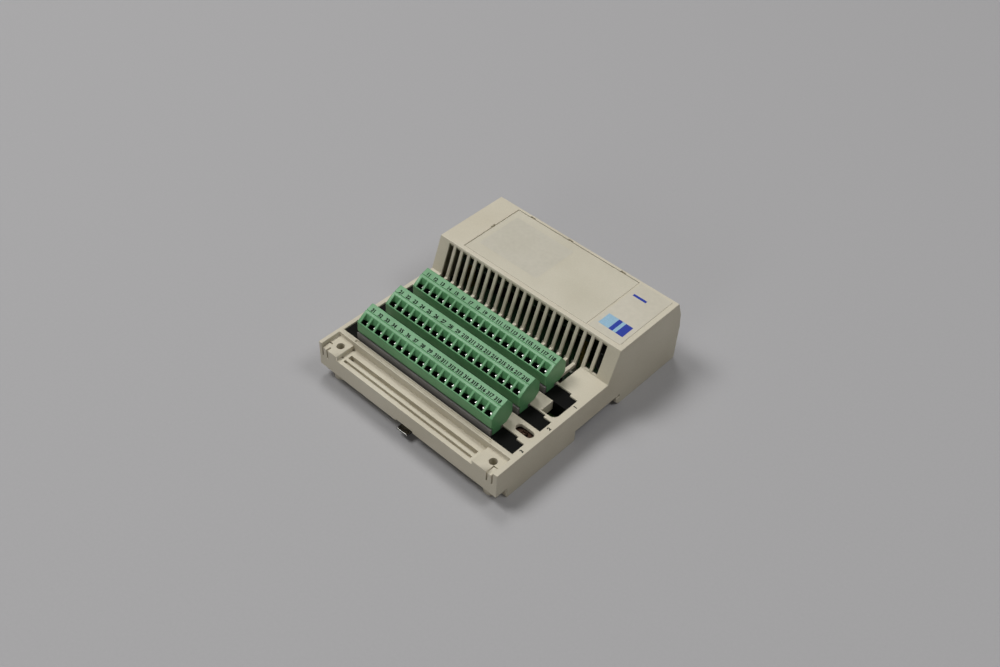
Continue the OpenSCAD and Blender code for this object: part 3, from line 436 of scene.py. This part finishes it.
# A plug has 18 terminals, 5.08 mm apart. Its top rises to a crest, 11 mm behind its front face, and the
# numbers lie on that slope, 3 mm down from the crest
POLES = 18
PITCH = 5.08 * MM
TOP_RISE = 1.8 * MM
TOP_RUN = 5.5 * MM
CREST_BACK = 11 * MM
NUMBER_DROP = 3 * MM
slope = math.atan2(TOP_RISE, TOP_RUN)
uphill = (0, math.cos(slope), math.sin(slope))
for row in ROWS:
    low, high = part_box("terminal_plug_" + row)
    spots = (low.x + high.x) / 2 + (np.arange(POLES) - (POLES - 1) / 2) * PITCH
    y = low.y + CREST_BACK - NUMBER_DROP * uphill[1]
    z = high.z - NUMBER_DROP * uphill[2]
    labels = [row + str(pole + 1) for pole in range(POLES)]
    numbers("row_numbers_" + row, labels, [(x, y, z) for x in spots], (1, 0, 0), uphill, "plug_" + row)

# A plain number on the deck to the right of each row, which reads from the right
DECK_TOP = 23 * MM
DECK_NUMBER_RIGHT = 2.3 * MM
DECK_NUMBER_BACK = 4 * MM
for row in ROWS:
    low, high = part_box("carrier_strip_" + row)
    spot = (high.x + DECK_NUMBER_RIGHT, low.y + DECK_NUMBER_BACK, DECK_TOP)
    numbers("deck_number_" + row, [row], [spot], (0, 1, 0), (-1, 0, 0), "housing")


def bars(name, boxes, finish):
    """Printed bars on the label, each a rectangle.

    A box is its left, front, right and back, in mm from the label's front left corner.
    """
    low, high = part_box("marking_label")
    boxes = np.array(boxes) * MM
    x = low.x + boxes[:, [0, 2, 2, 0]]
    y = low.y + boxes[:, [1, 1, 3, 3]]
    corners = np.stack([x, y, np.full_like(x, high.z + INK_LIFT)], axis=-1).reshape(-1, 3)
    sheet_of(name, corners, np.arange(len(corners)).reshape(-1, 4).tolist(), finish, "housing")


# Four bars side by side near the label's front, pale and blue by turns, and a thin blue one further back
BAR_SIDES = (2.5, 9, 11.5, 13.5, 18)
BAR_FRONT = 5
BAR_BACK = 14
THIN_BAR = (2.5, 33, 11, 34.6)
front_bars = [(left, BAR_FRONT, right, BAR_BACK) for left, right in zip(BAR_SIDES, BAR_SIDES[1:])]
bars("label_bars_pale", front_bars[0::2], ink_pale)
bars("label_bars_blue", [*front_bars[1::2], THIN_BAR], ink_blue)

FILM_CORNER = 1 * MM
# Left, front, right and back in mm of the film on the panel and of the painted light on the board beside the
# rear row
PANEL_FILM = (-43.5, 28.5, -2.5, 59)
PAINTED_LIGHT_AREA = (48.5, -25, 58.5, -14)


def film_sheet(name, carrier, box, finish):
    """A thin film on the top of a node: a rectangle whose corners are quarter circles, eight steps each."""
    left, front, right, back = np.array(box) * MM
    turn = np.linspace(0, math.pi / 2, 9)
    quarters = turn[None, :] + np.arange(4)[:, None] * math.pi / 2
    at_right = np.array([1, 0, 0, 1])[:, None]
    at_back = np.array([1, 1, 0, 0])[:, None]
    x = np.where(at_right, right - FILM_CORNER, left + FILM_CORNER) + FILM_CORNER * np.cos(quarters)
    y = np.where(at_back, back - FILM_CORNER, front + FILM_CORNER) + FILM_CORNER * np.sin(quarters)
    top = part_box(carrier)[1].z + INK_LIFT
    corners = np.stack([x, y, np.full_like(x, top)], axis=-1).reshape(-1, 3)
    sheet_of(name, corners, [list(range(len(corners)))], finish, body_of[carrier])


film_sheet("panel_film", "cover_panel", PANEL_FILM, film_bare)
# The board is painted brighter here, as painted light, so that it shows green in the window
film_sheet("board_copper_area", "main_board", PAINTED_LIGHT_AREA, painted_light_resist)

BACKGROUND = "#a5a4a5"
# The floor is eight metres square, and from FADE_FROM to FADE_TO out it passes into the background
FLOOR_REACH = 4.0
FADE_FROM = 0.7
FADE_TO = 2.0
LAMP_DISTANCE = 3.0
SKY_LEVEL = 0.07


def seen_share(tree):
    """One for the rays that see the background as it is: from the camera, off gloss and through glass."""
    path = add(tree, "LightPath", {}).outputs
    bent = add(tree, "Math", {0: path["Is Glossy Ray"], 1: path["Is Transmission Ray"]}, operation="MAXIMUM")
    seen = add(tree, "Math", {0: path["Is Camera Ray"], 1: bent.outputs[0]}, operation="MAXIMUM")
    return seen.outputs[0]


def lay_floor():
    """A pale grey paper floor with a faint fibre; for rays that see it, it fades into the background."""
    made, tree, shader, place = finish_of("grey_paper", Roughness=0.8)
    fibre = add(tree, "TexNoise", {"Vector": place, "Scale": per_size(1.5), "Detail": 3.0})
    shade = add(tree, "MapRange", {"Value": fibre.outputs["Fac"], "To Min": 0.97, "To Max": 1.03})
    tone = add(tree, "HueSaturation", {"Value": shade.outputs["Result"], "Color": linear(BACKGROUND)})
    tree.links.new(tone.outputs["Color"], shader.inputs["Base Color"])
    out = add(tree, "VectorMath", {0: place}, operation="LENGTH").outputs["Value"]
    far = add(tree, "MapRange", {"Value": out, "From Min": FADE_FROM, "From Max": FADE_TO},
              interpolation_type="SMOOTHSTEP")
    seen = add(tree, "Math", {0: far.outputs["Result"], 1: seen_share(tree)}, operation="MULTIPLY")
    even = add(tree, "Emission", {"Color": linear(BACKGROUND), "Strength": 1.0})
    both = add(tree, "MixShader", {0: seen.outputs[0], 1: shader.outputs["BSDF"], 2: even.outputs[0]})
    tree.links.new(both.outputs[0], tree.get_output_node("ALL").inputs["Surface"])
    square = np.array([(-1, -1, 0), (1, -1, 0), (1, 1, 0), (-1, 1, 0)]) * FLOOR_REACH
    mesh = bpy.data.meshes.new("floor")
    mesh.from_pydata(square.tolist(), [], [(0, 1, 2, 3)])
    mesh.materials.append(made)
    floor = bpy.data.objects.new("floor", mesh)
    scene.collection.objects.link(floor)


def hang_lamp(name, toward, size, watts):
    """A square soft box, seen from the module in the given direction, turned to face it."""
    lamp = bpy.data.lights.new(name, "AREA")
    lamp.size = size
    lamp.energy = watts
    holder = bpy.data.objects.new(name, lamp)
    direction = Vector(toward).normalized()
    holder.location = direction * LAMP_DISTANCE
    holder.rotation_euler = direction.to_track_quat("Z", "Y").to_euler()
    scene.collection.objects.link(holder)


def light_sky():
    """Even light from all round; the rays that see the sky itself get the background's grey."""
    world = bpy.data.worlds.new("studio")
    scene.world = world
    world.use_nodes = True
    tree = world.node_tree
    tree.nodes.clear()
    dim = add(tree, "Background", {"Color": (1.0, 1.0, 1.0, 1.0), "Strength": SKY_LEVEL})
    seen = add(tree, "Background", {"Color": linear(BACKGROUND), "Strength": 1.0})
    both = add(tree, "MixShader", {0: seen_share(tree), 1: dim.outputs[0], 2: seen.outputs[0]})
    add(tree, "OutputWorld", {"Surface": both.outputs[0]})


# The photograph's camera: how it is turned, in degrees, its lens and sensor, and its place, in mm
AZIMUTH = 40.65
ELEVATION = 44.42
ROLL = 3.25
LENS = 41.07
SENSOR_WIDTH = 36
CAMERA_PLACE = (275.17, -321.37, 438.19)


def photo_camera():
    """Camera at the photograph's place: turned by azimuth and elevation, then rolled about its view."""
    turn, rise, roll = (math.radians(angle) for angle in (AZIMUTH, ELEVATION, ROLL))
    back = Vector((math.sin(turn) * math.cos(rise), -math.cos(turn) * math.cos(rise), math.sin(rise)))
    level = Vector((math.cos(turn), math.sin(turn), 0))
    upright = back.cross(level)
    right = level * math.cos(roll) + upright * math.sin(roll)
    up = upright * math.cos(roll) - level * math.sin(roll)
    lens = bpy.data.cameras.new("camera")
    lens.sensor_width = SENSOR_WIDTH
    lens.lens = LENS
    holder = bpy.data.objects.new("camera", lens)
    holder.matrix_world = Matrix((right, up, back)).transposed().to_4x4()
    holder.location = Vector(CAMERA_PLACE) * MM
    scene.collection.objects.link(holder)
    scene.camera = holder


lay_floor()
hang_lamp("key_lamp", toward=(-0.5, -0.3, 1.0), size=1.1, watts=43)
hang_lamp("front_lamp", toward=(0.15, -1.0, 0.35), size=1.0, watts=10)
hang_lamp("back_right_lamp", toward=(0.55, 0.3, 1.0), size=1.1, watts=24)
hang_lamp("back_left_lamp", toward=(-0.4, 0.3, 1.0), size=0.9, watts=22)
light_sky()
photo_camera()
